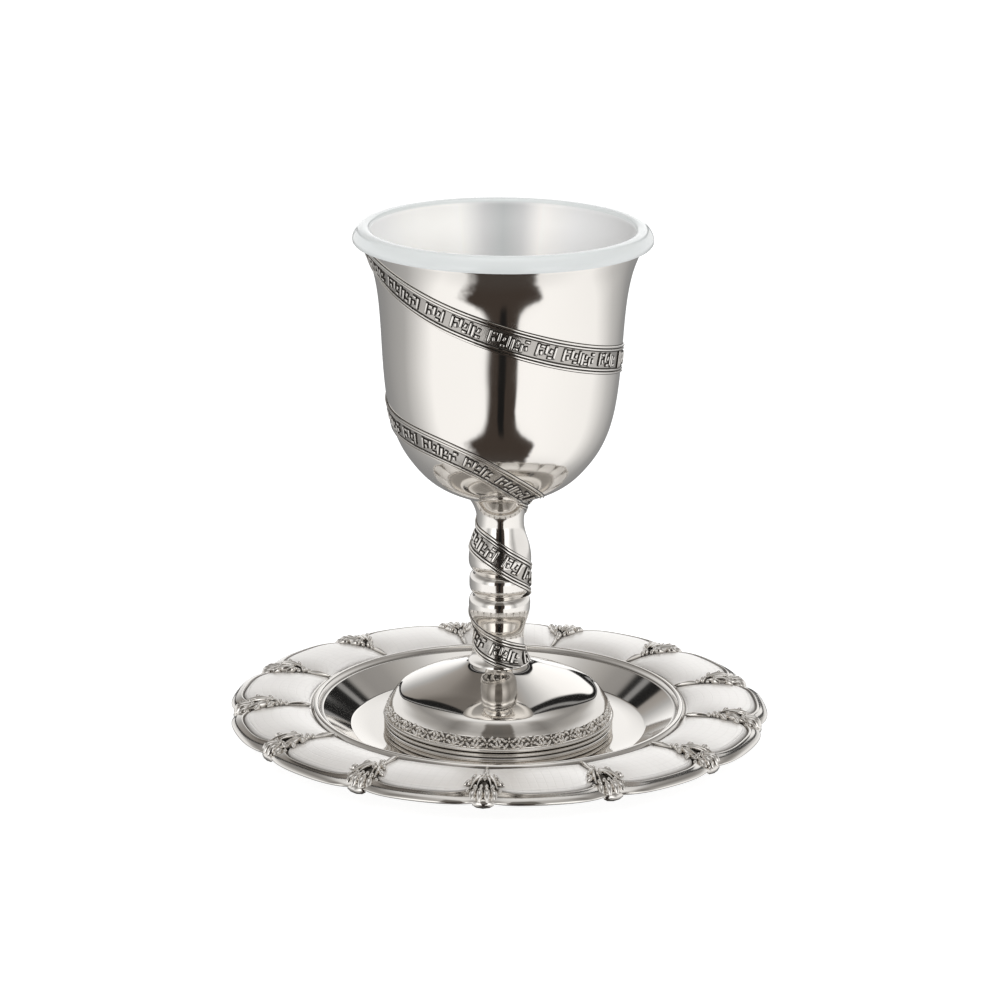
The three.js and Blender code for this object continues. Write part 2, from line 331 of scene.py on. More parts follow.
def turned(name, outline, sides):
    """Spins an outline that starts and ends on the axis into a closed piece."""
    corners = [(0.0, -radius * MM, height * MM) for radius, height in outline]
    piece = new_piece(name, corners, [(i, i + 1) for i in range(len(corners) - 1)])
    bpy.ops.object.mode_set(mode="EDIT")
    bpy.ops.mesh.select_all(action="SELECT")
    bpy.ops.mesh.spin(steps=sides, angle=2 * math.pi, center=(0, 0, 0), axis=(0, 0, 1))
    tidy(piece)
    return piece


def joined(name, pieces):
    """Several objects made into one."""
    only(pieces[0])
    for piece in pieces:
        piece.select_set(True)
    bpy.ops.object.join()
    pieces[0].name = name
    pieces[0].data.name = name
    return pieces[0]


def smooth_shaded(piece, degrees=38):
    """Shades a piece smooth, apart from edges that turn by more than so many degrees."""
    only(piece)
    bpy.ops.object.shade_smooth_by_angle(angle=math.radians(degrees))


def note(piece, name, values):
    """Keeps a number for each corner on the mesh, for its material to read."""
    layer = piece.data.attributes.get(name) or piece.data.attributes.new(name, "FLOAT", "POINT")
    layer.data.foreach_set("value", np.asarray(values, float))


def finished(piece, material):
    """Gives a piece its material, and lets it ride on the cup's body."""
    piece.data.materials.append(material)
    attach(piece, BODY)


# ---- small cast shapes, all drawn out from a ball -----------------

def drop(length, width, height, fat=0.5, bend=0.0, sides=10):
    """A drop or leaf lying along Y. fat says where it is widest, and bend turns it sideways."""
    deselect_all()
    bpy.ops.mesh.primitive_uv_sphere_add(
        segments=sides, ring_count=8, radius=1, rotation=(math.pi / 2, 0, 0))
    shape = bpy.context.object
    bpy.ops.object.transform_apply(rotation=True)
    x, y, z = corners_of(shape).T
    share = (y + 1) / 2
    reach = np.clip(share, 1e-4, 1) ** (math.log(0.5) / math.log(fat))
    swell = np.sin(math.pi * np.clip(reach, 0, 1)) ** 0.8
    round_section = np.maximum(np.hypot(x, z), 1e-6)
    x, z = x / round_section * swell, z / round_section * swell
    x, y, z = x * width / 2, y * length / 2, z * height / 2
    if bend:
        sweep = y / length * bend
        radius = length / bend
        x, y = radius - (radius - x) * np.cos(sweep), (radius - x) * np.sin(sweep)
    # Painted shade: each shape darker towards its underside, black at its foot.
    note(shape, "relief", z / height * 0.8 + 0.15)
    move_corners(shape, np.stack([x, y, z], 1) * MM)
    return shape


def copied(shape, x, y, turn=0.0, lift=0.0, size=1.0, flip=1, dip=0.0):
    """A copy of a small shape, dipped and turned by degrees, mirrored or not, and moved to (x, y)."""
    copy = twin(shape)
    place = Matrix.Translation(Vector((x, y, lift)) * MM)
    place = place @ Matrix.Rotation(math.radians(-turn * flip), 4, "Z")
    place = place @ Matrix.Rotation(math.radians(-dip), 4, "X")
    place = place @ Matrix.Diagonal((size * flip, size, size, 1))
    copy.data.transform(place)
    if flip < 0:
        copy.data.flip_normals()
    return copy


# ---- winding flat work round a turned wall ------------------------

def ribbon_line(surface, path):
    """The ribbon's middle on a surface: azimuth, arc, heading and length so far, finely spaced."""
    mean_radius = 20             # so that a step round the wall counts like a step up it
    stops = []
    for azimuth, height in path:
        past = max(0.0, height - surface.outline[-1, 1]) - max(0.0, surface.outline[0, 1] - height)
        stops.append((math.radians(azimuth) * mean_radius, surface.arc_at(height) + past))
    line = smooth_line(stops, 0.1)
    azimuth, arc = line[:, 0] / mean_radius, line[:, 1]
    round_it = np.gradient(azimuth) * surface.radius_at(arc)
    up_it = np.gradient(arc)
    step = np.hypot(round_it, up_it)
    return {"azimuth": azimuth, "arc": arc, "round": round_it / step, "up": up_it / step,
            "length": np.concatenate([[0.0], np.cumsum(step[1:])])}


def wind(piece, surface, line):
    """Lays a flat strip, drawn along X with Y across and Z raised, along a line on a surface."""
    x, y, z = (corners_of(piece) / MM).T
    azimuth, arc, heading_round, heading_up = (
        np.interp(x, line["length"], line[key]) for key in ("azimuth", "arc", "round", "up")
    )
    radius = surface.radius_at(arc)
    move_corners(piece, surface.place(azimuth - y * heading_up / radius, arc + y * heading_round, z))


def strip(name, length, section, spacing, depth):
    """A flat closed strip along X: a grid, extruded down, whose top then takes the section."""
    across, raised, relief = np.array(section).T
    deselect_all()
    bpy.ops.mesh.primitive_grid_add(
        x_subdivisions=round(length / spacing), y_subdivisions=len(section) - 1, size=1)
    piece = bpy.context.object
    bpy.ops.object.mode_set(mode="EDIT")
    bpy.ops.mesh.select_all(action="SELECT")
    bpy.ops.mesh.extrude_region_move(TRANSFORM_OT_translate={"value": (0, 0, -1)})
    tidy(piece)
    x, y, z = corners_of(piece).T
    row = np.rint((y + 0.5) * (len(section) - 1)).astype(int)
    top = z > -0.5
    move_corners(piece, np.stack([
        (x + 0.5) * length, across[row], np.where(top, raised[row], -depth)], 1) * MM)
    note(piece, "relief", relief[row])
    piece.name = name
    return piece


# ---- shader sums --------------------------------------------------

class Shade:
    """A shader socket that can be reckoned with: each operator adds its Math node."""

    def __init__(self, tree, socket):
        self.tree = tree
        self.socket = socket

    def node(self, kind, inputs=(), output=0, **settings):
        """Adds a node with its settings, then sets or links its inputs, and gives one output."""
        made = self.tree.nodes.new(kind)
        self.set_stops(made, settings.pop("stops", ()))
        for name, value in settings.items():
            setattr(made, name, value)
        pairs = inputs.items() if isinstance(inputs, dict) else enumerate(inputs)
        for key, value in pairs:
            if isinstance(value, Shade):
                self.tree.links.new(value.socket, made.inputs[key])
            else:
                made.inputs[key].default_value = value
        return Shade(self.tree, made.outputs[output])

    @staticmethod
    def set_stops(made, stops):
        """Gives a colour ramp its stops, as (position, colour) or (position, grey)."""
        for count, (position, colour) in enumerate(stops):
            elements = made.color_ramp.elements
            element = elements[count] if count < len(elements) else elements.new(position)
            element.position = position
            element.color = opaque(colour if isinstance(colour, tuple) else (colour,) * 3)

    def math(self, operation, *others):
        """This value put through a Math node, alone or before others."""
        return self.node("ShaderNodeMath", [self, *others], operation=operation)

    def math_after(self, operation, first):
        """A Math node of another value and this one."""
        return self.node("ShaderNodeMath", [first, self], operation=operation)

    def __add__(self, other):
        return self.math("ADD", other)

    def __radd__(self, other):
        return self.math_after("ADD", other)

    def __sub__(self, other):
        return self.math("SUBTRACT", other)

    def __rsub__(self, other):
        return self.math_after("SUBTRACT", other)

    def __mul__(self, other):
        return self.math("MULTIPLY", other)

    def __rmul__(self, other):
        return self.math_after("MULTIPLY", other)

    def __truediv__(self, other):
        return self.math("DIVIDE", other)

    def __pow__(self, other):
        return self.math("POWER", other)

    def __abs__(self):
        return self.math("ABSOLUTE")

    def rise(self, low, high, at_low=0.0, at_high=1.0):
        """A smooth step from at_low, at or below low, to at_high, at or above high."""
        return self.node("ShaderNodeMapRange", [self, low, high, at_low, at_high],
                         interpolation_type="SMOOTHSTEP")

    def mixed(self, low, high):
        """Two colours mixed by this value."""
        return self.node("ShaderNodeMix", {0: self, 6: low, 7: high}, output=2, data_type="RGBA")

    def channel(self, axis):
        """One of a vector's three values."""
        return self.node("ShaderNodeSeparateXYZ", [self], output="XYZ".index(axis))


def opaque(colour):
    """A colour with full alpha."""
    return (*colour, 1.0)


def new_material(name):
    """A material with its Principled shader, and a Shade to start sums from."""
    material = bpy.data.materials.new(name)
    material.use_nodes = True
    tree = material.node_tree
    shader = tree.nodes["Principled BSDF"]
    return material, shader, Shade(tree, None)


def noise(start, scale, detail=2.0, roughness=0.5):
    """Noise in the object's own coordinates, in metres."""
    where = start.node("ShaderNodeTexCoord", output=3)
    return start.node("ShaderNodeTexNoise", {0: where, "Scale": scale, "Detail": detail,
                                            "Roughness": roughness})


def plug(start, shader, **sockets):
    """Links or sets a shader's sockets, named with underscores for spaces."""
    for name, value in sockets.items():
        socket = shader.inputs[name.replace("_", " ")]
        if isinstance(value, Shade):
            start.tree.links.new(value.socket, socket)
        else:
            socket.default_value = value


def attribute(start, name):
    """A value that a piece keeps for each of its corners."""
    return start.node("ShaderNodeAttribute", output=2, attribute_name=name, attribute_type="GEOMETRY")


def bump(start, height, distance, strength=1.0):
    """A normal that is tilted by a height, whose full range is a distance in metres."""
    return start.node("ShaderNodeBump", {"Strength": strength, "Distance": distance, "Height": height})


# ---- sizes and colours, as the sidebar shows them -----------------

class CupSizes(bpy.types.PropertyGroup):
    """Sizes of the relief that the pieces carry, in metres."""

    ribbon_width: bpy.props.FloatProperty(
        name="Ribbon width", description="Width of the ribbon wound round bowl and stem",
        default=0.0071, unit="LENGTH")
    ribbon_raise: bpy.props.FloatProperty(
        name="Ribbon borders", description="How far the ribbon's borders stand off the wall",
        default=0.00042, unit="LENGTH")
    stroke_height: bpy.props.FloatProperty(
        name="Stroke height", description="Height of the raised strokes, across the ribbon",
        default=0.0032, unit="LENGTH")
    petal_rise: bpy.props.FloatProperty(
        name="Petal rise", description="How far a petal swells above its edges",
        default=0.0014, unit="LENGTH")
    crease_depth: bpy.props.FloatProperty(
        name="Crease depth", description="Depth of the crease between petal and border",
        default=0.00045, unit="LENGTH")


class CupColours(bpy.types.PropertyGroup):
    """Colours of the metal, of the painted shade on the grounds behind its relief, and of the insert."""

    nickel: bpy.props.FloatVectorProperty(
        name="Nickel", description="Colour of the polished metal",
        default=(0.84, 0.81, 0.77), subtype="COLOR", size=3)
    # The colour of the painted shade: on the ground behind relief, in its hollows and along the saucer's
    # dark lines.
    ground: bpy.props.FloatVectorProperty(
        name="Dark ground", description="Colour of the darkened ground behind relief",
        default=(0.16, 0.145, 0.13), subtype="COLOR", size=3)
    plastic: bpy.props.FloatVectorProperty(
        name="Milky plastic", description="Colour of the insert",
        default=(0.61, 0.635, 0.635), subtype="COLOR", size=3)


def sizes():
    """The sizes as the sidebar has them now."""
    return bpy.context.scene.cup_sizes


def colours():
    """The colours as the sidebar has them now."""
    return bpy.context.scene.cup_colours


# ---- materials ----------------------------------------------------

def polished_nickel():
    """Mirror polish, a little wavy, with a faint cloudiness."""
    material = bpy.data.materials.get("polished_nickel")
    if material:
        return material
    material, shader, start = new_material("polished_nickel")
    cloud = noise(start, 60.0, 3.0)
    wave = noise(start, 45.0, 1.0)
    plug(start, shader, Metallic=1.0, Base_Color=opaque(colours().nickel),
         Roughness=cloud.rise(0.3, 0.7, 0.05, 0.11), Normal=bump(start, wave, 0.0004))
    return material


def relief_nickel():
    """Polished where the relief stands up, with painted shade: greyer on its flat ground and dark in its
    hollows.
    """
    material = bpy.data.materials.get("relief_nickel")
    if material:
        return material
    material, shader, start = new_material("relief_nickel")
    grain = noise(start, 2600.0, 3.0)
    level = (attribute(start, "relief") + (grain - 0.5) * 0.06 + 0.2) / 0.7
    ground, nickel = tuple(colours().ground), tuple(colours().nickel)
    between = tuple(0.55 * low + 0.45 * high for low, high in zip(ground, nickel))
    hollow = tuple(0.35 * low for low in ground)
    # Painted shade by the relief value: black in hollows, dark on the ground behind relief, grey between,
    # polished nickel above.
    colour = start.node("ShaderNodeValToRGB", [level], stops=[
        (0.08, hollow), (0.22, ground), (0.3, between), (0.42, between), (0.55, nickel)])
    plug(start, shader, Metallic=1.0, Base_Color=colour, Roughness=level.rise(0.1, 0.5, 0.45, 0.06),
         Normal=bump(start, grain * level.rise(0.5, 0.7, 1.0, 0.0), 0.00005, 0.5))
    return material


def petal_nickel():
    """The saucer's metal: mirror in its well and border, satin and faintly engraved on its petals, with
    painted shade in its crease, valleys and ring hollows, and darker on its border's middle.
    """
    material, shader, start = new_material("petal_nickel")
    satin, dark, across, along = (
        attribute(start, name) for name in ("satin", "dark", "petal_across", "petal_along"))
    fan = across * (along * 2.6 + 5.0) * math.pi
    bow = (along + across * across * 0.16) * 8 * math.pi
    net = (fan.math("SINE") ** 2.0).math("MINIMUM", bow.math("SINE") ** 2.0).rise(0.0, 0.05, 0.6, 0.0)
    rim = abs(along - 0.93).rise(0.003, 0.012, 2.0, 0.0)
    engraved = net * satin + rim * satin
    brushed = start.node("ShaderNodeCombineXYZ", [across * 3.0, along * 90.0, 0.0])
    brushed = start.node("ShaderNodeTexNoise", {0: brushed, "Scale": 1.0, "Detail": 3.0})
    grain = noise(start, 900.0, 4.0, 0.6) * 0.6 + brushed * 0.8
    ground = opaque(colours().ground)
    bright = satin.mixed(opaque(colours().nickel), opaque((0.97, 0.95, 0.925)))
    bright = (engraved * 0.07).mixed(bright, ground)
    # The base colour carries the painted shade of the dark attribute.
    plug(start, shader, Metallic=1.0 - satin * 0.3, Base_Color=dark.mixed(bright, ground),
         Roughness=satin * 0.3 + 0.07 + dark * 0.3,
         Normal=bump(start, grain * satin * 0.4 - engraved * 0.6, 0.00012, 0.5))
    return material


def milky_plastic():
    """Milky and smooth at the lip, silvery satin on the inside with painted reflections in bands round
    it, and a faint painted glow of emission.
    """
    material, shader, start = new_material("milky_plastic")
    x, y = (start.node("ShaderNodeTexCoord", output=3).channel(axis) for axis in "XY")
    lip = ((x * x + y * y) ** 0.5).rise(0.0318, 0.0323)
    # Painted reflections: bright and darker bands round the inside, placed by azimuth.
    painted_band_azimuth = x.math("ARCTAN2", y) / (2 * math.pi) + 0.5
    warm_painted_highlight = (1.0, 0.99, 0.96)
    silver_painted_reflections = start.node("ShaderNodeValToRGB", [painted_band_azimuth], stops=[
        (0.0, 0.8), (0.2, 0.7), (0.3, 0.85), (0.38, warm_painted_highlight), (0.44, warm_painted_highlight), (0.475, 0.7),
        (0.5, (0.6, 0.62, 0.62)), (0.525, 0.7), (0.55, (0.98, 0.96, 0.93)), (0.6, 0.85), (0.72, 0.55),
        (1.0, 0.8)])
    plug(start, shader, Base_Color=lip.mixed(silver_painted_reflections, opaque(colours().plastic)),
         Metallic=lip.rise(0, 1, 0.15, 0.0), Roughness=lip.rise(0, 1, 0.35, 0.2), Coat_Weight=lip * 0.6,
         # A faint painted glow: the painted reflections given again as emission.
         Emission_Color=silver_painted_reflections, Emission_Strength=0.045,
         Normal=bump(start, noise(start, 300.0), 0.0001, 0.3))
    return material


# ---- the pieces ---------------------------------------------------

def ribbon_section():
    """The ribbon from edge to edge, as (across, raised, relief): two ridges each side of its ground."""
    half, raised = sizes().ribbon_width / MM / 2, sizes().ribbon_raise / MM
    left = [(-half + inward, share * raised, relief) for inward, share, relief in RIBBON_SIDE]
    middle = [(share * half, 0.02, 0.06) for share in (-0.3, 0.0, 0.3)]
    return left + middle + [(-across, z, relief) for across, z, relief in reversed(left)]


def stroke_row(spans):
    """Strokes between each span's ends, in groups, as (x, y, wide, tall, lean). They spell nothing."""
    height = sizes().stroke_height / MM
    row = []
    count, group = 0, 0
    for x, last in spans:
        while x < last:
            tall = height * STROKE_TALL[count % len(STROKE_TALL)]
            wide = STROKE_WIDE[count % len(STROKE_WIDE)]
            lean = STROKE_LEAN[count * 3 % len(STROKE_LEAN)]
            offset = (height - tall) / 2 * (1, -1)[count // 3 % 2]
            row.append((x + wide / 2, offset, wide, tall, lean))
            x += wide + STROKE_GAP
            if count % 3 != 2:
                # A short bar along one side of the row, and a small stroke that leans beside it.
                side = (1, -1)[count % 2]
                row.append((x + 0.45, side * (height / 2 - 0.4), 1.0, 0.5, 0))
                row.append((x + 0.45, -side * 0.4, 0.55, 0.95, side * 14))
                x += 1.0 + 0.35
            count += 1
            if count == STROKE_GROUPS[group % len(STROKE_GROUPS)]:
                x += GROUP_GAP
                count, group = 0, group + 1
    return row


def stroke_bar():
    """A block 1 mm each way with rounded edges, dark with painted shade at its foot and bright on top."""
    deselect_all()
    bpy.ops.mesh.primitive_cube_add(size=1)
    bar = bpy.context.object
    bpy.ops.object.mode_set(mode="EDIT")
    bpy.ops.mesh.select_all(action="SELECT")
    bpy.ops.mesh.bevel(offset=0.16, segments=2, affect="EDGES")
    bpy.ops.object.mode_set(mode="OBJECT")
    z = corners_of(bar)[:, 2]
    # Painted shade: black at the foot, dark up the sides, polished on top.
    note(bar, "relief", np.interp(z, (-0.34, 0.34, 0.45, 0.5), (-0.35, -0.05, 0.45, 0.6)))
    return bar


def strokes(name, row):
    """Raised strokes along X, one for each (x, y, wide, tall, lean) in the row."""
    bar = stroke_bar()
    cube = corners_of(bar)
    skirt = STROKE_SKIRT * np.sign(cube) * (cube[:, 2:] < 0) * (1, 1, 0)
    made = []
    for x, y, wide, tall, lean in row:
        copy = twin(bar)
        move_corners(copy, cube * (wide, tall, 0.6) + skirt)
        turn = Matrix.Rotation(math.radians(lean), 4, "Z")
        copy.data.transform(Matrix.Translation((x, y, 0.12)) @ turn)
        made.append(copy)
    deleted(bar)
    marks = joined(name, made)
    marks.data.transform(Matrix.Scale(MM, 4))
    return marks


def cut_level(piece, height, upper):
    """Cuts a closed piece off level, keeping what is below height, or above it."""
    only(piece)
    bpy.ops.object.mode_set(mode="EDIT")
    bpy.ops.mesh.select_all(action="SELECT")
    bpy.ops.mesh.bisect(plane_co=(0, 0, height * MM), plane_no=(0, 0, 1), use_fill=True,
                        clear_outer=upper, clear_inner=not upper)
    bpy.ops.object.mode_set(mode="OBJECT")


def wind_ribbon(surface, line, band, marks, low, high):
    """Winds a ribbon and its strokes along a line on a wall, and cuts them off below and above."""
    for piece in (band, marks):
        wind(piece, surface, line)
        cut_level(piece, high, upper=True)
        cut_level(piece, low, upper=False)
        smooth_shaded(piece, 50)
        finished(piece, relief_nickel())


class CUP_OT_bowl(bpy.types.Operator):
    """Turn the bowl and wind its ribbon"""
    bl_idname = "cup.bowl"
    bl_label = "Bowl"

    def execute(self, context):
        outside = smooth_line(BOWL_OUTSIDE, spacing=1.0)
        inside = wall_inside(outside, BOWL_WALL)
        inside = inside[inside[:, 1] > 65.0][::-1]
        profile = np.vstack([[(0, BOWL_Z)], outside, [(34.1, RIM_Z), (32.8, RIM_Z)], inside[1:],
                             [(10, 64.2), (0, 63.6)]])
        body = turned("bowl_body", profile, sides=160)
        smooth_shaded(body)
        finished(body, polished_nickel())
        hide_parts("bowl")
        surface = TurnedSurface(outside)
        line = ribbon_line(surface, BOWL_PATH)
        length = line["length"][-1]
        end = np.interp(math.radians(MARKED_END), line["azimuth"], line["length"])
        band = strip("bowl_ribbon", length, ribbon_section(), spacing=0.6, depth=0.7)
        tall = sizes().ribbon_width / MM - 3.0       # between the ridges
        bars = [(x, 0, BAR_WIDE, tall, 0) for x in (end, end + END_BARS)]
        marks = strokes("bowl_strokes", bars + stroke_row([(4.0, end - 4.0), (end + 2.2, length - 2.0)]))
        wind_ribbon(surface, line, band, marks, BOWL_Z + 0.02, RIM_Z - 0.2)
        return {"FINISHED"}


class CUP_OT_stem(bpy.types.Operator):
    """Turn the stem and wind its ribbon"""
    bl_idname = "cup.stem"
    bl_label = "Stem"

    def execute(self, context):
        outside = joined_runs(STEM_RUNS, spacing=0.5)
        body = turned("stem_body", np.vstack([[(0, STEM_Z)], outside, [(0, BOWL_Z)]]), sides=96)
        smooth_shaded(body)
        finished(body, polished_nickel())
        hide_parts("stem")
        surface = TurnedSurface(smooth_line(STEM_UNDER_RIBBON, spacing=0.5))
        line = ribbon_line(surface, STEM_PATH)
        length = line["length"][-1]
        band = strip("stem_ribbon", length, ribbon_section(), spacing=0.5, depth=1.8)
        marks = strokes("stem_strokes", stroke_row([(1.0, length - 1.0)]))
        wind_ribbon(surface, line, band, marks, NECK_Z + 0.1, BOWL_Z - 0.02)
        return {"FINISHED"}


class CUP_OT_foot(bpy.types.Operator):
    """Turn the foot and lay its wreath"""
    bl_idname = "cup.foot"
    bl_label = "Foot"

    def execute(self, context):
        outside = joined_runs(FOOT_RUNS, spacing=0.25)
        body = turned("foot_body", np.vstack([FOOT_INSIDE, outside, [(0, NECK_Z)]]), sides=192)
        x, y, z = (corners_of(body) / MM).T
        radius = np.hypot(x, y)
        lowest, highest = WREATH_BAND[0][1] + 0.05, WREATH_BAND[-1][1] - 0.05
        band = (z > lowest) & (z < highest) & (radius > 26.8)
        grooves = np.any([(z > low) & (z < high) for low, high in FOOT_GROOVES], axis=0)
        grooves = grooves & (radius > 27) & (radius < 27.95)
        # Painted shade: black in the grooves and dark on the band behind the wreath, the rest polished.
        note(body, "relief", np.where(grooves, -0.2, np.where(band, -0.07, 1.0)))
        smooth_shaded(body, 45)
        finished(body, relief_nickel())
        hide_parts("foot")
        self.wreath()
        return {"FINISHED"}

    def wreath(self):
        """Leaves, scrolls and small flowers in relief on the foot's upright band."""
        surface = TurnedSurface(smooth_line(WREATH_BAND, spacing=0.1))
        line = ribbon_line(surface, [(azimuth, WREATH_Z) for azimuth in range(0, 361, 30)])
        pitch = line["length"][-1] / WREATH_REPEATS
        leaf = drop(2.2, 0.82, 0.95, fat=0.4, bend=0.8, sides=8)
        scroll = drop(3.8, 0.55, 0.8, bend=2.2, sides=6)
        ball = drop(0.8, 0.8, 1.0, sides=6)
        motif = [copied(ball, 0, 0.25, lift=0.1)]
        for petal in range(5):
            turn = math.radians(petal * 72)
            motif.append(copied(ball, 0.72 * math.sin(turn), 0.25 + 0.72 * math.cos(turn), size=0.9))
        for flip in (1, -1):
            motif.append(copied(scroll, 1.6 * flip, -0.7, 80, flip=flip))
            for x, y, turn in ((1.5, 0.75, 55), (1.0, -1.0, 140), (2.45, 0.7, 20), (2.3, -0.75, 135)):
                motif.append(copied(leaf, x * flip, y, turn, flip=flip))
        motif = joined("foot_wreath", motif)
        copies = []
        for step in range(WREATH_REPEATS):
            copies.append(copied(motif, (step + 0.5) * pitch, 0, 180 * (step % 2)))
        deleted(leaf, scroll, ball, motif)
        wreath = joined("foot_wreath", copies)
        wind(wreath, surface, line)
        smooth_shaded(wreath, 60)
        finished(wreath, relief_nickel())


class CUP_OT_insert(bpy.types.Operator):
    """Turn the insert that lines the bowl"""
    bl_idname = "cup.insert"
    bl_label = "Insert"

    def execute(self, context):
        bowl = smooth_line(BOWL_OUTSIDE, spacing=1.0)
        outside = wall_inside(bowl, BOWL_WALL + INSERT_GAP)
        inside = wall_inside(bowl, BOWL_WALL + INSERT_GAP + INSERT_WALL)
        outside = outside[(outside[:, 1] > 67.0) & (outside[:, 1] < 124.0)]
        inside = inside[(inside[:, 1] > 68.5) & (inside[:, 1] < 124.0)][::-1]
        profile = np.vstack([[(0, 65.4), (10, 66.0)], outside, [(32.6, 124.65), (34.9, 124.65)],
                             smooth_line(LIP, spacing=0.4), inside, [(10, 67.0), (0, 66.5)]])
        cup = turned("insert_cup", profile, sides=160)
        smooth_shaded(cup)
        finished(cup, milky_plastic())
        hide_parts("insert")
        return {"FINISHED"}


class CUP_OT_saucer(bpy.types.Operator):
    """Turn the saucer and press its petals"""
    bl_idname = "cup.saucer"
    bl_label = "Saucer"

    def execute(self, context):
        floor = [(radius, SHEET) for radius in (0, 12, 24, 32)]
        petals = [(self.radius_of_row(share), PETAL_MARK) for share in PETAL_ROWS]
        profile = np.vstack([floor, joined_runs(WELL_RUNS, spacing=0.25), petals,
                             [(PETAL_EDGE, EDGE_MARK)], SAUCER_UNDERSIDE])
        plate = turned("saucer_plate", profile, sides=PETALS * 26)
        self.press(plate)
        tidy(plate)
        smooth_shaded(plate, 50)
        finished(plate, petal_nickel())
        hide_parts("saucer")
        return {"FINISHED"}

    @staticmethod
    def radius_of_row(share):
        """Where a row across the petals is turned, before it is pressed."""
        if share <= 1:
            return PETAL_START + (CREASE - PETAL_START) * share
        return CREASE + (PETAL_EDGE - CREASE) * (share - 1)

    def press(self, plate):
        """Presses the turned rows beyond the ring into petals, each with its crease and border."""
        x, y, z = (corners_of(plate) / MM).T
        radius, azimuth = np.hypot(x, y), np.arctan2(x, -y)
        top = z > PETAL_MARK - 0.5
        low_edge = (z > EDGE_MARK - 0.5) & ~top
        under_edge = (radius > 55) & (z < EDGE_MARK - 1)
        # From one valley to the next, across goes from -1 to 1.
        pitch = 2 * math.pi / PETALS
        across = ((azimuth - math.radians(FIRST_VALLEY)) / pitch % 1) * 2 - 1
        share = np.where(radius <= CREASE, (radius - PETAL_START) / (CREASE - PETAL_START),
                         1 + (radius - CREASE) / (PETAL_EDGE - CREASE))
        on_petal, on_border = np.clip(share, 0, 1), np.clip(share - 1, 0, 1)
        edge = PETAL_EDGE - NOTCH * across ** 4
        crease = edge - (PETAL_EDGE - CREASE) - CREASE_TURN * across ** 4
        petal_r = PETAL_START + (crease - PETAL_START) * on_petal
        border_r = crease + (edge - crease) * on_border
        new_r = np.where(share <= 1, petal_r, border_r)
        new_r = np.where(low_edge, edge - 0.05, np.where(top, new_r, radius))
        new_r = np.where(under_edge, radius / PETAL_EDGE * edge, new_r)
        swell = (1 - np.abs(across) ** 3.2) * np.sin(math.pi * on_petal ** 0.8) ** 0.8
        petal_z = PETAL_Z + (CREASE_Z - PETAL_Z) * on_petal + sizes().petal_rise / MM * swell
        bead = np.sin(math.pi * np.clip(on_border * 3, 0, 1))
        border_z = CREASE_Z + BORDER_BEAD * bead - BORDER_FALL * on_border - BORDER_ROLL * on_border ** 6
        fold = np.exp(-((share - 1.0) / 0.028) ** 2 * np.where(share < 1, 1, 0.1))
        height = np.where(share > 1, border_z, petal_z) - sizes().crease_depth / MM * fold
        new_z = np.where(low_edge, EDGE_UNDER_Z, np.where(top, height, z))
        move_corners(plate, np.stack([new_r * np.sin(azimuth), -new_r * np.cos(azimuth), new_z], 1) * MM)
        satin = top & (share > 0.01) & (share < 0.985)
        valley = (np.abs(across) > 0.97) & (share > 0) & (share < 1)
        shaded_border = 0.22 * ((on_border > 0.15) & (on_border < 0.85))
        # Painted shade along the crease and the valleys, and the middle of the border painted darker as
        # its dark reflections.
        dark = np.maximum(np.maximum(fold, valley) * 0.95, shaded_border)
        # Painted shade in the hollows at the foot of the ring.
        hollows = sum(np.exp(-((radius - hollow) / 0.25) ** 2) for hollow in RING_HOLLOWS)
        note(plate, "satin", satin)
        note(plate, "dark", np.where(top, dark, np.where(z > 3, hollows * 0.8, 0.0)))
        note(plate, "petal_across", across)
        note(plate, "petal_along", share)


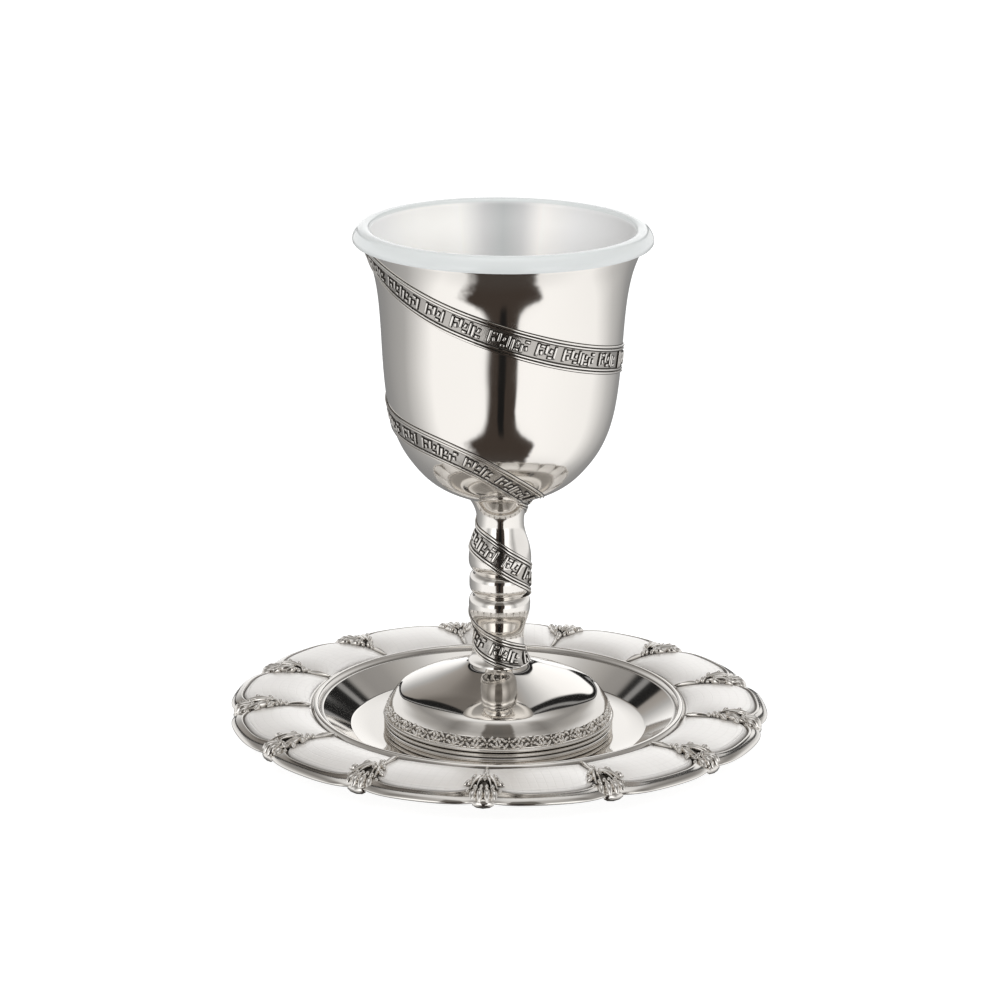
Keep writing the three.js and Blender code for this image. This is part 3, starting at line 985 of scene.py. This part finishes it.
class CUP_OT_tassels(bpy.types.Operator):
    """Cast the tassel that lies in each of the saucer's valleys"""
    bl_idname = "cup.tassels"
    bl_label = "Tassels"

    def execute(self, context):
        thread = drop(7.2, 0.95, 1.5)
        bead = drop(1.7, 1.7, 1.9)
        strand = drop(8.0, 1.05, 1.9, bend=-0.3)
        leaf = drop(2.9, 1.4, 1.9, fat=0.4, bend=0.6)
        petal = drop(5.1, 2.15, 2.5, fat=0.62)
        shell = drop(1.8, 6.4, 2.0)
        # A low dark plate under each tassel, painted as the shade between its parts.
        shade = drop(7.4, 3.6, 1.3, fat=0.55)
        note(shade, "relief", [-0.09] * len(shade.data.vertices))
        parts = [copied(shade, 0, 58.7, lift=6.7, dip=4), copied(thread, 0, 50.0, lift=6.8),
                 copied(bead, 0, 52.7, lift=7.0, size=0.8), copied(bead, 0, 54.2, lift=7.2),
                 copied(bead, 0, 57.5, lift=7.4, size=0.8), copied(shell, 0, 65.0, lift=4.8)]
        for flip in (1, -1):
            parts += [
                copied(bead, 1.3 * flip, 55.2, lift=7.2, size=0.7),
                copied(strand, 2.6 * flip, 58.7, 22, 7.3, 1.0, flip, 4),
                copied(strand, 1.45 * flip, 59.0, 16, 7.5, 0.65, flip, 6),
                copied(leaf, 2.9 * flip, 56.8, 52, 7.4, 1.0, flip),
                copied(leaf, 4.5 * flip, 60.0, 60, 7.2, 1.0, flip),
                copied(bead, 0.75 * flip, 61.1, lift=6.9, size=0.75),
                copied(bead, 2.4 * flip, 61.4, lift=6.8, size=0.9),
                copied(petal, 0.95 * flip, 63.5, 6, 6.3, 1.0, flip, 26),
                copied(petal, 2.8 * flip, 63.0, 24, 6.1, 1.0, flip, 26),
                copied(bead, 4.5 * flip, 62.3, lift=6.4, size=0.7),
            ]
        tassel = joined("tassel", parts)
        foot = Matrix.Translation((0, 0, TASSEL_FOOT * MM))
        stretch = Matrix.Diagonal((TASSEL_WIDE, -1, TASSEL_TALL, 1))
        tassel.data.transform(foot @ stretch @ foot.inverted())
        tassel.data.flip_normals()
        copies = []
        for valley in range(PETALS):
            copy = twin(tassel)
            azimuth = math.radians(FIRST_VALLEY + valley * 360 / PETALS)
            copy.data.transform(Matrix.Rotation(azimuth, 4, "Z"))
            copies.append(copy)
        deleted(thread, bead, strand, leaf, petal, shell, shade, tassel)
        tassels = joined("saucer_tassels", copies)
        smooth_shaded(tassels, 60)
        finished(tassels, relief_nickel())
        return {"FINISHED"}


# ---- the stage ----------------------------------------------------

BROWN = (0.055, 0.043, 0.036)    # the unlit room
CAMERA_AT = (-0.000134, -0.8977, 0.3205)
CAMERA_DOWN = 16.21              # degrees that the camera looks down, and that it leans
CAMERA_LEAN = 0.57
CAMERA_LENS = 137.26


def table_light(start, up, round_it, ragged):
    """Light from below: a bright table, with a dark gap in front."""
    table = start.node("ShaderNodeValToRGB", [round_it + 0.5], stops=[
        (0.0, 0.22), (0.11, 0.32), (0.2, 0.46), (0.244, 0.7), (0.306, 1.1), (0.6, 1.13), (0.778, 1.05),
        (0.85, 0.6), (0.917, 0.34), (1.0, 0.22)])
    gap = round_it + ragged * up.rise(-0.5, -0.3, 0.05, 0.012)
    core = abs(gap + 0.001).rise(0.0085, 0.011, 1, 0) * up.rise(-0.45, -0.36)
    gap = gap * up.rise(-0.46, -0.29, 0.54, 1.5)
    table = (gap.rise(-0.075, -0.045) * gap.rise(0.055, 0.063, 1, 0)).mixed(table, opaque(BROWN))
    table = up.rise(-0.7, -0.5, 0.2, 0.0).mixed(table, opaque((0.1, 0.1, 0.1)))
    return core.mixed(table, opaque((0.012, 0.012, 0.012)))


def box_light(start, up, round_it, ragged):
    """Light from above: soft boxes at the sides, and the dark of the room between them in front."""
    boxes = start.node("ShaderNodeValToRGB", [up], stops=[
        (0.0, 0.95), (0.15, 0.9), (0.3, 0.5), (0.45, 0.33), (0.55, 0.36), (0.7, 0.6), (0.8, 0.9),
        (1.0, 1.0)])
    room = start.node("ShaderNodeValToRGB", [abs(round_it + ragged * 0.02)], stops=[
        (0.0, 0.012), (0.014, 0.012), (0.02, BROWN), (0.05, BROWN), (0.058, 1.7), (0.1, 1.6), (0.13, 0.9),
        (0.16, 0.55), (0.2, 1.0)])
    room = up.rise(0.2, 0.36, 0.0, 0.45).mixed(room, opaque((0.85, 0.8, 0.74)))
    both = start.node("ShaderNodeMix", {0: 1.0, 6: boxes, 7: room}, output=2, data_type="RGBA",
                      blend_type="MULTIPLY")
    return up.rise(0.6, 0.75).mixed(both, boxes)


def panel_light(start, up, back, boxes):
    """Light from a panel high at the back, which fades to white at its foot, in a dark frame."""
    panel = start.node("ShaderNodeValToRGB", [up - back * 1.9], stops=[
        (0.0, 1.2), (0.17, 1.1), (0.25, 0.94), (0.33, 0.7), (0.42, 0.47), (0.5, (0.39, 0.37, 0.35)),
        (0.66, (0.3, 0.28, 0.26)), (0.77, (0.17, 0.155, 0.142))])
    off = abs(back + 0.015) / up.rise(0.0, 0.25, 0.4, 1.0)
    in_frame = off.rise(0.2, 0.212, 1, 0) * up.rise(0.745, 0.765, 1, 0)
    in_panel = off.rise(0.14, 0.148, 1, 0) * up.rise(0.71, 0.72, 1, 0)
    frame_light = abs(off - 0.183).rise(0.004, 0.009, 0.3, 0.015)
    return in_panel.mixed(in_frame.mixed(boxes, frame_light), panel)


def studio_world():
    """Reflections of a studio, by the direction that a reflection comes from."""
    world = bpy.data.worlds.new("studio")
    bpy.context.scene.world = world
    world.use_nodes = True
    tree = world.node_tree
    start = Shade(tree, None)
    toward = start.node("ShaderNodeTexCoord", output=0)
    x, y, z = (toward.channel(axis) for axis in "XYZ")
    up = z.math("ARCSINE") / (math.pi / 2)                    # -1 to 1
    round_it = x.math("ARCTAN2", y * -1.0) / (2 * math.pi)    # 0 is the front, and -0.5 and 0.5 the back
    back = x.math("ARCTAN2", y) / math.pi                     # 0 is the back
    ragged = start.node("ShaderNodeTexNoise", {0: toward, "Scale": 9.0, "Detail": 3.0}) - 0.5
    above = panel_light(start, up, back, box_light(start, up, round_it, ragged))
    light = up.rise(-0.13, -0.07).mixed(table_light(start, up, round_it, ragged), above)
    tree.links.new(light.socket, tree.nodes["Background"].inputs["Color"])
    tree.nodes["Background"].inputs["Strength"].default_value = 1.0


def soft_light(name, location, size, power):
    """A square soft light, aimed at the cup and hidden from view and from reflections."""
    deselect_all()
    bpy.ops.object.light_add(type="AREA", location=location)
    light = bpy.context.object
    light.name = name
    light.rotation_euler = (Vector((0, 0, 0.05)) - light.location).to_track_quat("-Z", "Y").to_euler()
    light.data.size = size
    light.data.energy = power
    light.visible_camera = False
    light.visible_glossy = False


class CUP_OT_stage(bpy.types.Operator):
    """Lay the floor, light it and set the camera"""
    bl_idname = "cup.stage"
    bl_label = "Stage"

    def execute(self, context):
        studio_world()
        deselect_all()
        bpy.ops.mesh.primitive_circle_add(vertices=96, radius=4.0, fill_type="NGON")
        floor = context.object
        floor.name = "floor"
        material, shader, start = new_material("white_sweep")
        plug(start, shader, Base_Color=(0.35, 0.35, 0.35, 1), Roughness=0.9, Specular_IOR_Level=0.0,
             Emission_Color=(1, 1, 1, 1), Emission_Strength=0.86)
        floor.data.materials.append(material)
        floor.visible_glossy = False
        soft_light("left_softbox", (-0.7, -0.5, 0.9), size=0.8, power=4.0)
        soft_light("right_softbox", (0.7, -0.5, 0.9), size=0.8, power=4.0)
        soft_light("top_softbox", (0.0, 0.3, 1.3), size=1.2, power=6.0)
        bpy.ops.object.camera_add(location=CAMERA_AT)
        camera = context.object
        camera.name = "camera"
        camera.matrix_world = (Matrix.Translation(camera.location)
                               @ Matrix.Rotation(math.radians(90 - CAMERA_DOWN), 4, "X")
                               @ Matrix.Rotation(math.radians(CAMERA_LEAN), 4, "Z"))
        camera.data.lens = CAMERA_LENS
        camera.data.sensor_width = 36
        context.scene.camera = camera
        context.scene.view_settings.view_transform = "Standard"
        return {"FINISHED"}


OPERATORS = (CUP_OT_saucer, CUP_OT_tassels, CUP_OT_foot, CUP_OT_stem, CUP_OT_bowl, CUP_OT_insert,
             CUP_OT_stage)


class CUP_PT_panel(bpy.types.Panel):
    """Sizes, colours and a button for each piece"""
    bl_idname = "CUP_PT_panel"
    bl_label = "Blessing cup"
    bl_space_type = "VIEW_3D"
    bl_region_type = "UI"
    bl_category = "Cup"

    def draw(self, context):
        for group in (context.scene.cup_sizes, context.scene.cup_colours):
            for name in group.__annotations__:
                self.layout.prop(group, name)
        for operator in OPERATORS:
            self.layout.operator(operator.bl_idname)


CLASSES = (CupSizes, CupColours, *OPERATORS, CUP_PT_panel)


def register():
    for cls in CLASSES:
        bpy.utils.register_class(cls)
    bpy.types.Scene.cup_sizes = bpy.props.PointerProperty(type=CupSizes)
    bpy.types.Scene.cup_colours = bpy.props.PointerProperty(type=CupColours)


def unregister():
    del bpy.types.Scene.cup_colours
    del bpy.types.Scene.cup_sizes
    for cls in reversed(CLASSES):
        bpy.utils.unregister_class(cls)


def main():
    register()
    bpy.ops.cup.saucer()
    bpy.ops.cup.tassels()
    bpy.ops.cup.foot()
    bpy.ops.cup.stem()
    bpy.ops.cup.bowl()
    bpy.ops.cup.insert()
    bpy.ops.cup.stage()


if __name__ == "__main__":
    main()
